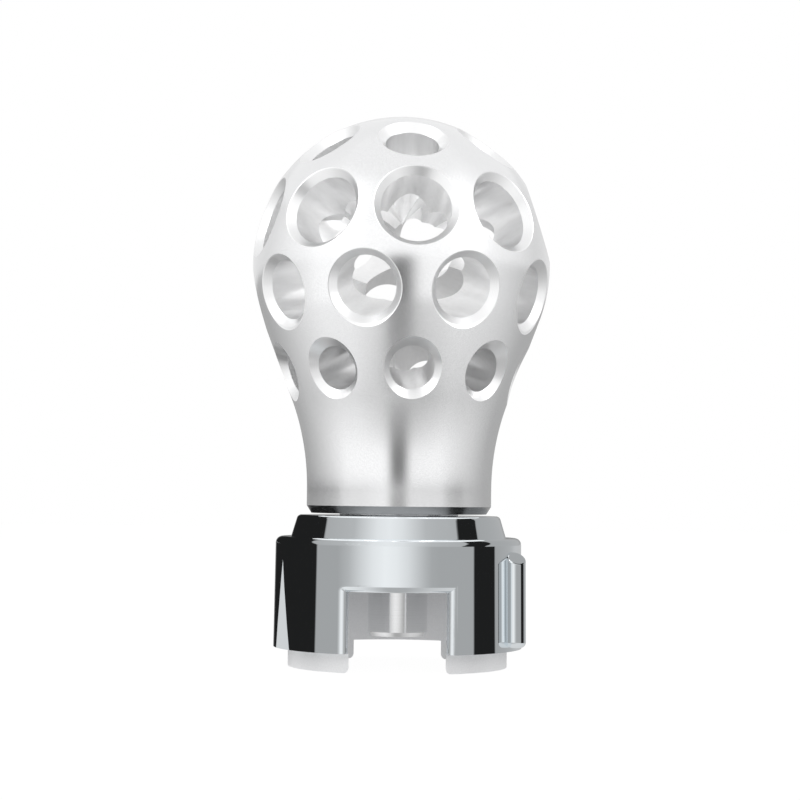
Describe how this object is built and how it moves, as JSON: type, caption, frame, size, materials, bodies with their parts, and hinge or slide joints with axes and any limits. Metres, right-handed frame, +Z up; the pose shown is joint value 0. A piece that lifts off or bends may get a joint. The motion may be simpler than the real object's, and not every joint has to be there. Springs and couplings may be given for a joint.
{
  "type": "gear shift knob",
  "caption": "Drilled ball-shaped aluminium gear shift knob with a waisted neck, screwed down on a two-tier chrome cover with a notch, over a cup that fits the shift lever.",
  "frame": {"origin": "on the knob's axis, at the feet of the mounting cup", "axes": "+Z up along the knob's axis, -Y towards the front notch, +X towards the rib on the cover"},
  "size_m": [0.0634, 0.0634, 0.1172],
  "materials": {
    "blasted_aluminium": "bead-blasted and clear anodised, with bright machined countersinks",
    "chrome": "mirror chrome plating",
    "cup_alloy": "tumbled matt light grey",
    "turned_steel": "fine turned satin",
    "plated_steel": "bright zinc plating"
  },
  "bodies": {
    "root": {"knob_body": "blasted_aluminium", "cover": "chrome", "mounting_cup": "cup_alloy", "centre_stud": "turned_steel", "jam_nut": "plated_steel", "knob_washer": "plated_steel"}
  },
  "joints": []
}
